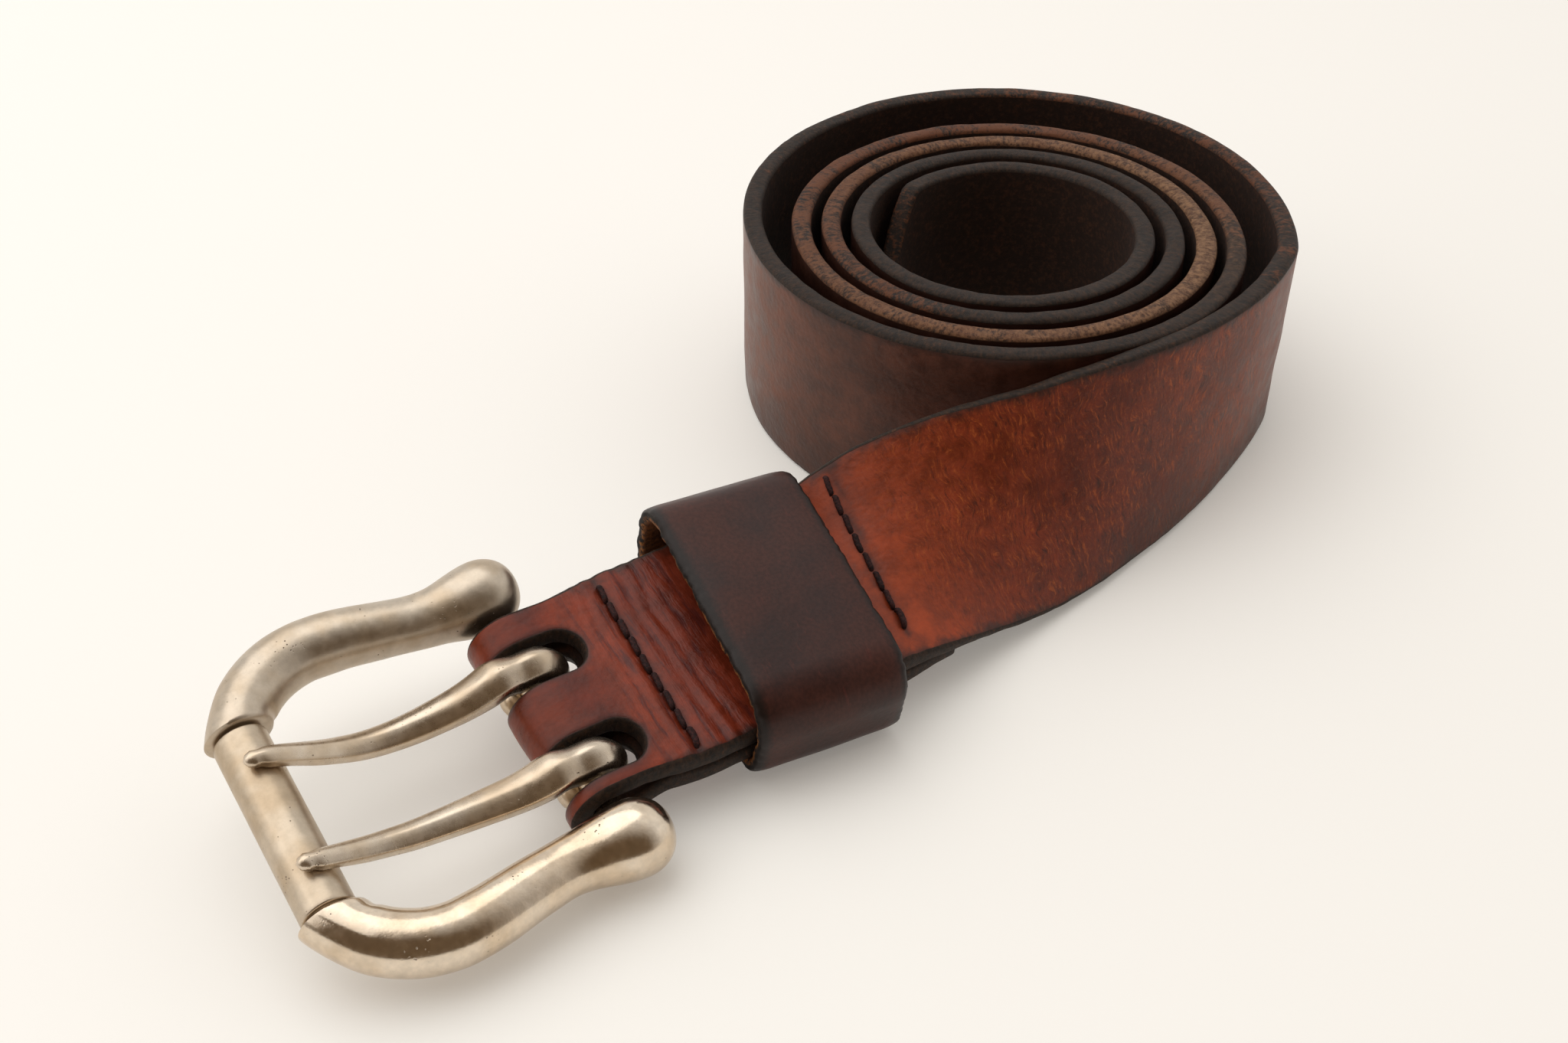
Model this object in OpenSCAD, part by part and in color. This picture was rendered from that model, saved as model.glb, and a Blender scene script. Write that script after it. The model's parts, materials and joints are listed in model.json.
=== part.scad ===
// Leather belt with a two-prong roller buckle, rolled up on its edge for storage.
// The strap leaves the roll, twists down from standing to nearly flat, passes through
// its keeper and folds round the heel bar of the buckle. +X runs from buckle to roll.

/* [Strap] */
// Width of the leather strap
strap_w = 38; // [38:0.5:39]
// Thickness of the leather
strap_t = 3.7; // [3.4:0.1:3.8]
// Length of the turned-back end under the strap, from the heel bar
turnback_l = 66; // [64:1:68]
// Lean of the buckle end about the long axis, far edge up
lean = 14; // [13.5:0.1:14]

/* [Roll] */
// Radius of the outer turn, at the middle of the leather
roll_r = 50.4; // [50:0.2:53]
// Radius where the inner turns begin
inner_r = 42.9; // [42.8:0.1:44]
// Distance from one inner turn to the next
pitch = 5.6; // [5.4:0.05:5.7]
// Number of turns in the roll
turns = 4.54; // [3:0.01:4.6]

/* [Holes] */
// Number of pairs of adjustment holes
hole_pairs = 5; // [3:1:6]
// Diameter of an adjustment hole
hole_d = 5; // [4:0.5:5.5]
// Distance along the strap from one pair to the next
hole_step = 25.4; // [20:0.2:28]
// Distance along the strap from its tip to the first pair
hole_first = 184; // [180:2:190]

/* [Buckle] */
// Half of the distance between the two heel bulbs
bulb_w = 24.7; // [24.6:0.1:26]
// Radius of a heel bulb
bulb_r = 6.2; // [6:0.1:6.4]
// Radius of an arm in its middle
arm_r = 4.8; // [4.5:0.1:5]
// Radius of the heel bar
heel_r = 2.2; // [2:0.05:2.25]
// Distance from the heel bar to the roller
reach = 43.4; // [43:0.1:44]
// Outer radius of the roller
roller_r = 4.15; // [4:0.05:4.3]
// Half the length of the roller
roller_w = 15.9; // [14:0.1:16]
// Radius of the bar inside the roller
front_r = 2.9; // [2.6:0.05:3.1]
// Distance of each prong from the middle
prong_w = 9.3; // [9:0.1:9.6]

/* [Keeper] */
// Width of the keeper along the strap
keeper_l = 25.5; // [20:0.5:26]
// Thickness of the keeper's leather
keeper_t = 2.5; // [2:0.1:2.6]
// Free height above the strap inside the keeper
keeper_gap = 5.4; // [4.6:0.1:6]
// Turn of the loose keeper on the strap
keeper_skew = 6.5; // [5:0.5:7]

/* [Hidden] */

origin_x = -65.31;     // brings the middle of the whole belt's box over the origin
origin_y = -35.51;
arms_z = 13.62;        // height of the middle of the buckle arms over the table
heel_n = -3.5;         // the heel bar sits below the middle of the arms
half_w = strap_w / 2;
half_t = strap_t / 2;
fold_r = heel_r + 0.35 + half_t;   // middle of the leather round the heel bar
top_n = heel_n + fold_r;           // middle of the upper layer at the heel bar
flat_n = 0.15;                     // middle of the upper layer from the front row on
pinch = strap_t + 0.3;             // the layers' distance where they are sewn together
narrowed = 1.3;                    // the strap is this much narrower each side at the heel bar
twist_x = 55;                      // the strap is straight up to here
keeper_x = 38.6;                   // middle of the keeper
slot_w = 7.8;                      // slots for the prongs
slot_end = 8.8;
prong_shift = -1.6;                // the prongs sit to the near side of the middle
prong_t = 6;                       // width of a prong at its root
running = 0.08;                    // clearance of a running fit

// Middle of the outer turn and of the inner turns
outer_c = [127.1, 50.0];
inner_c = [122.1, 45.1];
// The lower edge of the twisting stretch, seen from above
edge_a = [45, -half_w * cos(lean) - flat_n * sin(lean)];
edge_b = [72, edge_a[1] + 0.7];
edge_c = [123.8, -11.2];
edge_d = [159.7, 10];
edge_z = arms_z - half_w * sin(lean) + flat_n * cos(lean);

function ease(t) = t <= 0 ? 0 : t >= 1 ? 1 : t * t * (3 - 2 * t);
function mix(a, b, t) = a + (b - a) * t;
function bezier(c, t) = len(c) == 1
    ? c[0] : bezier([for (i = [0:len(c) - 2]) mix(c[i], c[i + 1], t)], t);
function unit(v) = v / norm(v);

// A station is [middle of the leather, direction across it, direction of the grain side, half width]
// The buckle end lies in a plane that leans about X: place [u, w, n] in it
function leaning(p) = [p[0], p[1] * cos(lean) - p[2] * sin(lean),
                       arms_z + p[1] * sin(lean) + p[2] * cos(lean)];
across = [0, cos(lean), sin(lean)];
above = [0, -sin(lean), cos(lean)];
function upper_n(x) = mix(top_n, flat_n, ease(x / 14));
function layer_gap(x) = pinch + (2 * fold_r - pinch) * (1 - ease(x / 11));

// The twisting stretch: lean and lower edge over the distance along it
function twist(x) = mix(lean, 90, ease(pow(max(0, (x - twist_x) / 98), 0.6)));
function edge(t) = let (p = bezier([edge_a, edge_b, edge_c, edge_d], t))
    [p[0], p[1], (edge_z - half_t * cos(lean)) * (1 - ease((p[0] - 52) / 46))
                 + half_t * cos(twist(p[0]))];
function twisted(t) =
    let (p = edge(t),
         h = unit([for (i = [0:1]) edge(t + 0.01)[i] - edge(t - 0.01)[i]]),
         a = twist(p[0]),
         w = [-h[1] * cos(a), h[0] * cos(a), sin(a)],
         n = cross([h[0], h[1], 0], w))
    [p + w * half_w, w, n, half_w];
function edge_t(x, a = 0, b = 1, k = 14) =
    k == 0 ? (a + b) / 2 : let (m = (a + b) / 2) edge(m)[0] < x ? edge_t(x, m, b, k - 1)
                                                               : edge_t(x, a, m, k - 1);
function heel_w(x) = half_w - narrowed * (1 - ease((x - 5) / 14));
function upper(x) = x < edge_a[0] ? [leaning([x, 0, upper_n(x)]), across, above, heel_w(x)]
                                  : twisted(edge_t(x));
function lower(x) = let (s = upper(x)) [s[0] - s[2] * layer_gap(x), s[1], -s[2], s[3]];

// The roll, by the number of turns from its outer end
start_a = atan2(edge_d[1] - outer_c[1], edge_d[0] - outer_c[0]);
function roll_c(f) = mix(outer_c, inner_c, ease((f - 0.3) / 0.6));
function roll_rad(f) = f < 0.9
    ? inner_r + (roll_r - inner_r) * (1 - ease((f - 0.45) / 0.45)) + 1.3 * pow(max(0, 1 - f / 0.1), 2)
    : inner_r - pitch * (f - 0.9);
function roll_p(f) = let (a = start_a + 360 * f) roll_c(f) + roll_rad(f) * [cos(a), sin(a)];
tip_turns = 0.1;   // the stretch over which the strap narrows to its point
tip_half = 2.5;    // half the width of the blunt point
function tip_w(f) = mix(half_w, tip_half, max(0, (f - turns + tip_turns) / tip_turns));
function rolled(f) =
    let (p = roll_p(f), h = unit(roll_p(f + 0.002) - roll_p(f - 0.002)), w = tip_w(f))
    [[p[0], p[1], half_w], [0, 0, 1], [h[1], -h[0], 0], w];

// Turns that a length of the strap takes up, measured back from its tip
function turns_back(l) = let (r = roll_rad(turns)) (sqrt(r * r + pitch * l / PI) - r) / pitch;

turn_steps = 24;
roll_end = ceil((turns - tip_turns) * turn_steps) - 1;
stations = concat(
    [for (x = [turnback_l:-3:3]) lower(x)],
    [for (a = [270:-22.5:90]) [leaning([fold_r * cos(a), 0, heel_n + fold_r * sin(a)]), across,
                               cos(a) * [1, 0, 0] + sin(a) * above, heel_w(0)]],
    [for (x = [3:3:42]) upper(x)],
    [for (t = [0:1/30:0.999]) twisted(t)],
    [for (i = [0:roll_end]) rolled(i / turn_steps)],
    [for (i = [0:4]) rolled(turns - tip_turns * (1 - i / 4))]);

// The strap's section, with its four corners taken off
bevel = 0.6;
function ring(s) = [for (c = [[-1, -1], [1, -1], [1, 1], [-1, 1]], k = [0, 1])
    let (across_in = (c[0] * c[1] > 0) == (k == 0) ? 0 : bevel,
         up_in = bevel - across_in)
    s[0] + s[1] * c[0] * (s[3] - across_in) + s[2] * c[1] * (half_t - up_in)];

module sweep(rings) {
    sides = len(rings[0]);
    count = len(rings);
    sheet = [for (i = [0:count - 2], j = [0:sides - 1])
        let (a = i * sides + j, b = i * sides + (j + 1) % sides)
        each [[a, b, b + sides], [a, b + sides, a + sides]]];
    ends = [[for (j = [sides - 1:-1:0]) j], [for (j = [0:sides - 1]) (count - 1) * sides + j]];
    polyhedron(points = [for (r = rings) each r], faces = concat(sheet, ends));
}

module placed() {
    translate([origin_x, origin_y, 0]) children();
}

module buckle_plane() {
    placed() translate([0, 0, arms_z]) rotate([lean, 0, 0]) children();
}

// Rows of stitches: [place along the strap at its middle, slant, first and last place across, number]
row_front = [15.6, 0.03, -17, 16.5, 9];
row_back = [59.3, 0.18, -13.5, 17, 8];
function row_places(row) = [for (i = [0:row[4]]) let (w = mix(row[2], row[3], i / row[4]))
    [row[0] + row[1] * w, w]];
thread_r = 0.6;
awl_r = 0.65;
// A point on the middle of the upper layer, moved out of it by n
function on_strap(p, n) = let (s = upper(p[0])) s[0] + s[1] * p[1] + s[2] * n;

module rod(a, b, r) {
    d = b - a;
    translate(a) rotate([0, acos(d[2] / norm(d)), atan2(d[1], d[0])])
        cylinder(h = norm(d), r = r, $fn = 12);
}

module prong_slots() {
    for (w = [-prong_w, prong_w])
        translate([0, prong_shift + w, heel_n - 12]) {
            translate([-12, -slot_w / 2, 0]) cube([12 + slot_end - slot_w / 2, slot_w, 24]);
            translate([slot_end - slot_w / 2, 0, 0]) cylinder(h = 24, d = slot_w, $fn = 48);
        }
}

module strap() {
    color("saddlebrown")
    difference() {
        placed() sweep([for (s = stations) ring(s)]);
        buckle_plane() prong_slots();
        placed() for (row = [row_front, row_back], p = row_places(row))
            rod(on_strap(p, -layer_gap(p[0]) - 3), on_strap(p, 3), awl_r);
        placed() for (i = [0:hole_pairs - 1]) {
            f = turns - turns_back(hole_first + i * hole_step);
            for (side = [-1, 1])
                translate(concat(roll_p(f), half_w + side * prong_w))
                    rotate([0, 90, atan2(rolled(f)[2][1], rolled(f)[2][0])])
                        cylinder(h = strap_t + 1, d = hole_d, center = true, $fn = 32);
        }
    }
}

// Thread along the row above and below the leather, and down through each hole
module stitch_row(row) {
    top = half_t + thread_r + 0.02;
    places = row_places(row);
    for (p = places)
        rod(on_strap(p, -layer_gap(p[0]) - top), on_strap(p, top), thread_r - 0.05);
    for (i = [0:len(places) - 2]) {
        // A stitch ends inside the thread that goes down at each of its ends
        a = mix(places[i], places[i + 1], 0.07);
        b = mix(places[i], places[i + 1], 0.93);
        rod(on_strap(a, top), on_strap(b, top), thread_r);
        rod(on_strap(a, -layer_gap(a[0]) - top), on_strap(b, -layer_gap(b[0]) - top), thread_r);
    }
}

module stitches_front() {
    color("indianred") placed() stitch_row(row_front);
}

module stitches_back() {
    color("indianred") placed() stitch_row(row_back);
}

module rounded_rect(x0, x1, y0, y1, r) {
    translate([x0 + r, y0]) square([x1 - x0 - 2 * r, y1 - y0]);
    translate([x0, y0 + r]) square([x1 - x0, y1 - y0 - 2 * r]);
    for (x = [x0 + r, x1 - r], y = [y0 + r, y1 - r])
        translate([x, y]) circle(r = r, $fn = 48);
}

keeper_in = 21.4;                           // half the free width in the keeper
keeper_top = flat_n + half_t + keeper_gap;  // underside of its upper run
keeper_low = flat_n - half_t - pinch - 0.4; // upper side of its lower run
staple_at = [-6, 6];

module keeper_place() {
    buckle_plane() translate([keeper_x, 0, 0]) rotate([0, 0, -keeper_skew]) children();
}

module staples(grow) {
    for (u = staple_at)
        translate([u, 0, keeper_low - keeper_t]) {
            translate([-0.5 - grow, -4 - grow, -0.01]) cube([1 + 2 * grow, 8 + 2 * grow, 0.8 + grow]);
            for (w = [-4, 3])
                translate([-0.5 - grow, w - grow, 0]) cube([1 + 2 * grow, 1 + 2 * grow, 1.9 + grow]);
        }
}

module keeper() {
    color("darkslategray")
    keeper_place() difference() {
        translate([-keeper_l / 2, 0, 0]) rotate([90, 0, 90]) linear_extrude(keeper_l) difference() {
            rounded_rect(-keeper_in - keeper_t, keeper_in + keeper_t,
                         keeper_low - keeper_t, keeper_top + keeper_t, 5);
            rounded_rect(-keeper_in, keeper_in, keeper_low, keeper_top, 2.5);
        }
        // The two ends of the keeper's leather meet under the strap
        translate([-keeper_l, -0.15, keeper_low - keeper_t - 1]) cube([2 * keeper_l, 0.3, keeper_t + 1.5]);
        staples(0.02);
    }
}

module keeper_staples() {
    color("silver") keeper_place() staples(0);
}

module bar(u, n, r, half) {
    translate([u, half, n]) rotate([90, 0, 0]) cylinder(h = 2 * half, r = r, $fn = 64);
}

// An arm of the buckle: a wide bend beside the roller, a long taper, and the heel bulb
bend_r = 16.3;
bend_end = [-28.2, 26.7];
neck = [-11, bulb_w - 0.4];
neck_r = arm_r - 0.4;
lap = 0.3;   // a taper runs this far into its neighbours
module taper(a, b, r1, r2) {
    h = unit(b - a);
    translate([a[0] - lap * h[0], a[1] - lap * h[1], 0]) rotate([0, 90, atan2(h[1], h[0])])
        cylinder(h = norm(b - a) + 2 * lap, r1 = r1 + 0.05, r2 = r2, $fn = 64);
}

module arm() {
    difference() {
        translate([bend_end[0], bend_end[1] - bend_r, 0]) rotate([0, 0, 90])
            rotate_extrude(angle = 85, $fn = 96) translate([bend_r, 0]) circle(r = arm_r, $fn = 48);
        // The bend stops beside the roller
        translate([-60, roller_w + 0.4 - 30, -15]) cube([40, 30, 30]);
    }
    taper(bend_end, neck, arm_r, neck_r);
    taper(neck, [-1.5, bulb_w], neck_r, bulb_r - 0.4);
    translate([0, bulb_w, 0]) sphere(r = bulb_r, $fn = 64);
}

module buckle_frame() {
    color("gainsboro")
    buckle_plane() {
        arm();
        rotate([180, 0, 0]) arm();
        bar(0, heel_n, heel_r, bulb_w - 0.4);
        bar(-reach, 0, front_r, roller_w + 1.7);
    }
}

module roller() {
    color("silver")
    buckle_plane() difference() {
        bar(-reach, 0, roller_r, roller_w);
        bar(-reach, 0, front_r + running, roller_w + 1);
        // The seam of the rolled tube
        translate([-reach, -roller_w - 1, -0.25]) cube([roller_r + 1, 2 * roller_w + 2, 0.5]);
    }
}

// Side view of a prong: a round root, a sag, and a tip that rests on the roller.
// Each prong is bent a little differently.
root_r = 6.4;
crown_r = 7.35;
tip_u = -45.2;
function root_rad(a) = mix(root_r, crown_r, ease((a - 20) / 60));
far_curve = [2.2, -4, 0.4, -9.3, 6.9, 5.6];
near_curve = [2.2, -2.8, 4.7, -3.9, 4.8, 5.9];
function prong_n(curve, u) = bezier(curve, (-6 - u) / (-6 - tip_u));
function prong_half(u) = mix(1.6, 1.05, (-6 - u) / (-6 - tip_u));
module prong_side(curve) {
    us = [for (i = [0:20]) mix(-6, tip_u, i / 20)];
    polygon(concat([[0, heel_n]],
        [for (a = [0:10:110]) [0, heel_n] + root_rad(a) * [cos(a), sin(a)]],
        [for (u = us) [u, prong_n(curve, u) + prong_half(u)]],
        [for (i = [20:-1:0]) [us[i], prong_n(curve, us[i]) - prong_half(us[i])]],
        [[-3, 0]]));
}

module prong(w, curve) {
    skew = 1.2;
    tip = tip_u + 0.2;
    buckle_plane() translate([0, w + prong_shift, 0]) difference() {
        intersection() {
            union() {
                translate([0, prong_t / 2, 0]) rotate([90, 0, 0]) linear_extrude(prong_t) prong_side(curve);
                bar(0, heel_n, root_r, prong_t / 2);
            }
            translate([0, 0, -20]) linear_extrude(40)
                polygon([[9, -2.95], [9, 2.95], [-8, 2.8], [tip + 2, skew + 1.3], [tip, skew + 0.9],
                         [tip, skew - 0.9], [tip + 2, skew - 1.3], [-8, -2.8]]);
        }
        bar(0, heel_n, heel_r + running, prong_t);
        // The hook is open in front, under the prong
        translate([-root_r - 1, -prong_t, heel_n - 2.4]) cube([root_r - 0.6, 2 * prong_t, 3.2]);
    }
}

module prong_far() {
    color("gainsboro") prong(prong_w, far_curve);
}

module prong_near() {
    color("gainsboro") prong(-prong_w, near_curve);
}

strap();
keeper();
keeper_staples();
stitches_front();
stitches_back();
buckle_frame();
roller();
prong_far();
prong_near();
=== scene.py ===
"""Looks of a leather belt with a two-prong roller buckle, rolled up on its edge.

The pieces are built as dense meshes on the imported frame, in millimetres, and go into Blender in metres.
"""
import json
import math
import bmesh
import bpy
import numpy as np
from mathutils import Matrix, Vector
from mathutils.geometry import delaunay_2d_cdt


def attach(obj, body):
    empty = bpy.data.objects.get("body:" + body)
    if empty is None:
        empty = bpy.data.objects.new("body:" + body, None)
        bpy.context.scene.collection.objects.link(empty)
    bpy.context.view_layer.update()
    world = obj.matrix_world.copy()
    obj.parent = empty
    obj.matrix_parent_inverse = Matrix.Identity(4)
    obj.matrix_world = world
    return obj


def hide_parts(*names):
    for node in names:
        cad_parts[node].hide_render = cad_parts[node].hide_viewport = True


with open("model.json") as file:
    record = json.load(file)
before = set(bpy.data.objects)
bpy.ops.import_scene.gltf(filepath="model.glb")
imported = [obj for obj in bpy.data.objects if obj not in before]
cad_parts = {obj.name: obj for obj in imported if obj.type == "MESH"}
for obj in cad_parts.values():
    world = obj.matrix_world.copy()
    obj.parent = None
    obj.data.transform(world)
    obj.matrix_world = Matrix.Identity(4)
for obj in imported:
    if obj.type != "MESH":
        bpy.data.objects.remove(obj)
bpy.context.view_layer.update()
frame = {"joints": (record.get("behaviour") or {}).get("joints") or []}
JOINTS = {j["name"]: j for j in frame["joints"]}

# ------ places and sizes, in mm
# u runs from the heel bar along the strap, w across it, and n up out of the buckle's leaning plane
HALF_W, HALF_T = 19.0, 1.85  # half the strap's width and thickness
HEEL_N, FOLD_R, FLAT_N, PINCH = -3.5, 4.4, 0.15, 4.0
TOP_N = HEEL_N + FOLD_R
TURNED_BACK, FLAT_END = 66, 45  # ends of the lower layer and of the flat part of the upper one
REACH, BULB_W, BULB_R, ARM_R, HEEL_R, ROLLER_R = 43.4, 24.7, 5.95, 4.8, 2.2, 4.15
ROLLER_W, FRONT_R, PRONG_W, PRONG_SHIFT = 15.9, 2.9, 9.3, -1.6
SLOT_R, SLOT_END, HOLE_R = 3.9, 8.7, 2.5
KEEPER_X, KEEPER_L, KEEPER_T, KEEPER_IN, KEEPER_SKEW = 38.6, 25.5, 2.5, 21.4, 6.5
KEEPER_TOP, KEEPER_LOW = FLAT_N + HALF_T + 5.4, FLAT_N - HALF_T - PINCH - 0.4
TURNS, TIP_TURNS, PITCH, INNER_R, OUTER_R = 4.54, 0.1, 5.6, 42.9, 50.4
TIP_HALF = 2.5
ROLL_START, ROLL_MID = (127.1, 50.0), (122.1, 45.1)  # middle of the roll where the strap joins it, and further in
HOLES_BACK = [184 + 25.4 * i for i in range(5)]  # pairs of adjustment holes, measured from the tip
# Rows of stitches: distance from the heel bar, slant, first and last hole across the strap, number of stitches
ROW_FRONT = (15.6, 0.03, -17.0, 16.5, 9)
ROW_BACK = (59.3, 0.18, -13.5, 17.0, 8)
# Heights above the plane that pull each prong's blade into its curve, from the hook to the tip
FAR_CURVE = (2.2, -4.0, 0.4, -9.3, 6.9, 5.6)
NEAR_CURVE = (2.2, -2.8, 4.7, -3.9, 4.8, 5.9)
TIP_U = -45.2

X = np.array([1.0, 0, 0])
ACROSS = np.array(JOINTS["buckle_swing"]["axis"], float)
ACROSS /= np.linalg.norm(ACROSS)
LEAN = math.atan2(ACROSS[2], ACROSS[1])
ABOVE = np.array([0, -math.sin(LEAN), math.cos(LEAN)])
BASE = np.array(JOINTS["buckle_swing"]["pos_m"], float) * 1000 - HEEL_N * ABOVE


def ease(t):
    """Goes smoothly from 0 to 1 as t does."""
    t = np.clip(t, 0, 1)
    return t * t * (3 - 2 * t)


def mix(a, b, t):
    return a + (b - a) * t


def unit(v):
    return v / np.linalg.norm(v, axis=-1, keepdims=True)


def lengths(p):
    """Distance along a line of points, from its first one."""
    return np.r_[0, np.cumsum(np.linalg.norm(np.diff(p, axis=0), axis=1))]


def sample(t, q, values):
    """Reads the columns of values, which are known at q, at t."""
    return np.stack([np.interp(t, q, values[:, k]) for k in range(values.shape[1])], -1)


def soften(v, reach, width, mode):
    """Smooths a row of numbers with a bump as its kernel."""
    kernel = bump(np.arange(-reach, reach + 1), width)
    return np.convolve(np.pad(v, reach, **mode), kernel / kernel.sum(), "valid")


MIRROR = {"mode": "reflect", "reflect_type": "odd"}


def leaning(u, w, n):
    """Places points of the buckle's leaning plane in the part's frame."""
    u, w, n = np.broadcast_arrays(np.asarray(u, float), w, n)
    return BASE + u[..., None] * X + w[..., None] * ACROSS + n[..., None] * ABOVE


def bump(d, width):
    """A smooth bump of height 1 round d = 0."""
    return np.exp(-((d / width) ** 2))


def lattice_noise(x, y, seed, size=128):
    """Smooth noise from -1 to 1 over the plane, which repeats after size units."""
    g = np.random.RandomState(seed).uniform(-1, 1, (size, size))
    i, j = np.floor(x).astype(int), np.floor(y).astype(int)
    a, b = ease(x - i), ease(y - j)
    p = lambda m, n: g[(i + m) % size, (j + n) % size]
    return mix(mix(p(0, 0), p(1, 0), a), mix(p(0, 1), p(1, 1), a), b)


# ------ the strap's line
# Where the strap's lower edge runs on the table, from the flat part to the roll: the points of a cubic curve
EDGE_W = -HALF_W * math.cos(LEAN) - FLAT_N * math.sin(LEAN)
EDGE = np.array([[FLAT_END, EDGE_W], [72, EDGE_W + 0.7], [123.8, -11.2], [159.7, 10.0]])
EDGE_Z = BASE[2] - HALF_W * math.sin(LEAN) + FLAT_N * math.cos(LEAN)


def edge_xy(t):
    t = np.asarray(t, float)[..., None]
    return ((1 - t) ** 3 * EDGE[0] + 3 * t * (1 - t) ** 2 * EDGE[1]
            + 3 * t * t * (1 - t) * EDGE[2] + t ** 3 * EDGE[3])


EDGE_TS = np.linspace(0, 1, 800)
EDGE_XS = edge_xy(EDGE_TS)[:, 0]


def twisted(t):
    """Middle, direction across and normal of the twist, where the strap turns from leaning to upright."""
    t = np.asarray(t, float)
    p = edge_xy(t)
    x = p[..., 0]
    a = LEAN + (math.pi / 2 - LEAN) * ease(np.clip((x - 55) / 98, 0, None) ** 0.6)
    z = (EDGE_Z - HALF_T * math.cos(LEAN)) * (1 - ease((x - 52) / 46)) + HALF_T * np.cos(a)
    h = unit(edge_xy(t + 0.01) - edge_xy(t - 0.01))
    w = np.stack([-h[..., 1] * np.cos(a), h[..., 0] * np.cos(a), np.sin(a)], -1)
    n = np.cross(np.stack([h[..., 0], h[..., 1], 0 * a], -1), w)
    return np.stack([x + BASE[0], p[..., 1] + BASE[1], z], -1) + w * HALF_W, w, n


def upper(x):
    """Middle, direction across and normal of the upper layer at distance x from the heel bar."""
    x = np.atleast_1d(np.asarray(x, float))
    flat = leaning(x, 0, mix(TOP_N, FLAT_N, ease(x / 14)))
    c, w, n = twisted(np.interp(x, EDGE_XS, EDGE_TS))
    near = (x < EDGE[0, 0])[:, None]
    return np.where(near, flat, c), np.where(near, ACROSS, w), np.where(near, ABOVE, n)


def layer_gap(x):
    """From the middle of the upper layer down to the middle of the lower one."""
    return PINCH + (2 * FOLD_R - PINCH) * (1 - ease(x / 11))


def heel_w(x):
    """Half the strap's width, which is pinched at the fold."""
    return HALF_W - 1.3 * (1 - ease((x - 5) / 14))


def rolled(f):
    """Middle of the strap in the roll, after f turns."""
    start = math.atan2(EDGE[3, 1] - ROLL_START[1], EDGE[3, 0] - ROLL_START[0])
    k = ease((f - 0.3) / 0.6)
    c = np.stack([mix(ROLL_START[i], ROLL_MID[i], k) for i in (0, 1)], -1)
    r = np.where(f < 0.9, INNER_R + (OUTER_R - INNER_R) * (1 - ease((f - 0.45) / 0.45))
                 + 1.3 * np.clip(1 - f / 0.1, 0, None) ** 2, INNER_R - PITCH * (f - 0.9))
    a = start + 2 * math.pi * f
    return np.stack([c[:, 0] + r * np.cos(a) + BASE[0], c[:, 1] + r * np.sin(a) + BASE[1],
                     np.full_like(f, HALF_W)], -1)


def strap_line(step=0.25):
    """The strap's middle line at even steps: points, directions across, half widths and marks along it."""
    x_low, x_up = np.arange(TURNED_BACK, 0.1, -step), np.arange(0, FLAT_END, step)
    c_up, w_up, n_up = upper(x_low)
    low = c_up - n_up * layer_gap(x_low)[:, None]
    a = np.radians(np.arange(270, 90, -3.0))
    fold = leaning(FOLD_R * np.cos(a), 0, HEEL_N + FOLD_R * np.sin(a))
    top, w_top, _ = upper(x_up)
    ts, fs = np.arange(0, 1, 1 / 500), np.arange(0, TURNS, 1 / 700)
    tw, w_tw, _ = twisted(ts)
    tip = np.clip((fs - TURNS + TIP_TURNS) / TIP_TURNS, 0, None)
    c = np.concatenate([low, fold, top, tw, rolled(fs)])
    w = np.concatenate([w_up, np.tile(ACROSS, (len(a), 1)), w_top, w_tw, np.tile([0, 0, 1.0], (len(fs), 1))])
    half = np.concatenate([heel_w(x_low), np.full(len(a), heel_w(0)), heel_w(x_up), np.full(len(ts), HALF_W),
                           mix(HALF_W, TIP_HALF, tip)])
    s = lengths(c)
    marks = {"low": (x_low[::-1], s[:len(x_low)][::-1])}
    i = len(x_low) + len(a)
    marks["up"] = (np.r_[x_up, edge_xy(ts)[:, 0]], s[i:i + len(x_up) + len(ts)])
    marks["roll"] = (fs, s[-len(fs):])
    grid = np.arange(0, s[-1], step)
    line = [sample(grid, s, v) for v in (c, w)]
    half = np.interp(grid, s, half)
    # Even out the joins between the stretches, past the fold
    share = ease((grid - np.interp(24, *marks["up"])) / 10)[:, None]
    for k, v in enumerate(line):
        line[k] = mix(v, np.stack([soften(column, 24, 11.0, MIRROR) for column in v.T], -1), share)
    return grid, line[0], line[1], half, marks


S, LINE_C, LINE_W, LINE_H, MARKS = strap_line()
LINE_T = unit(np.gradient(LINE_C, S, axis=0))
LINE_W = unit(LINE_W - LINE_T * (LINE_W * LINE_T).sum(1, keepdims=True))
LINE_N = np.cross(LINE_T, LINE_W)
S_END = S[-1]


def s_low(x):
    """Length along the strap at distance x from the heel bar, on the lower layer."""
    return float(np.interp(x, *MARKS["low"]))


def s_up(x):
    """The same on the upper layer."""
    return float(np.interp(x, *MARKS["up"]))


def along(values, s):
    """Values of the middle line at s."""
    return np.interp(s, S, values) if values.ndim == 1 else sample(s, S, values)


def row_line(row, w):
    """Distance of a slanted row of stitches from the heel bar, at w."""
    return row[0] + row[1] * w


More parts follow.
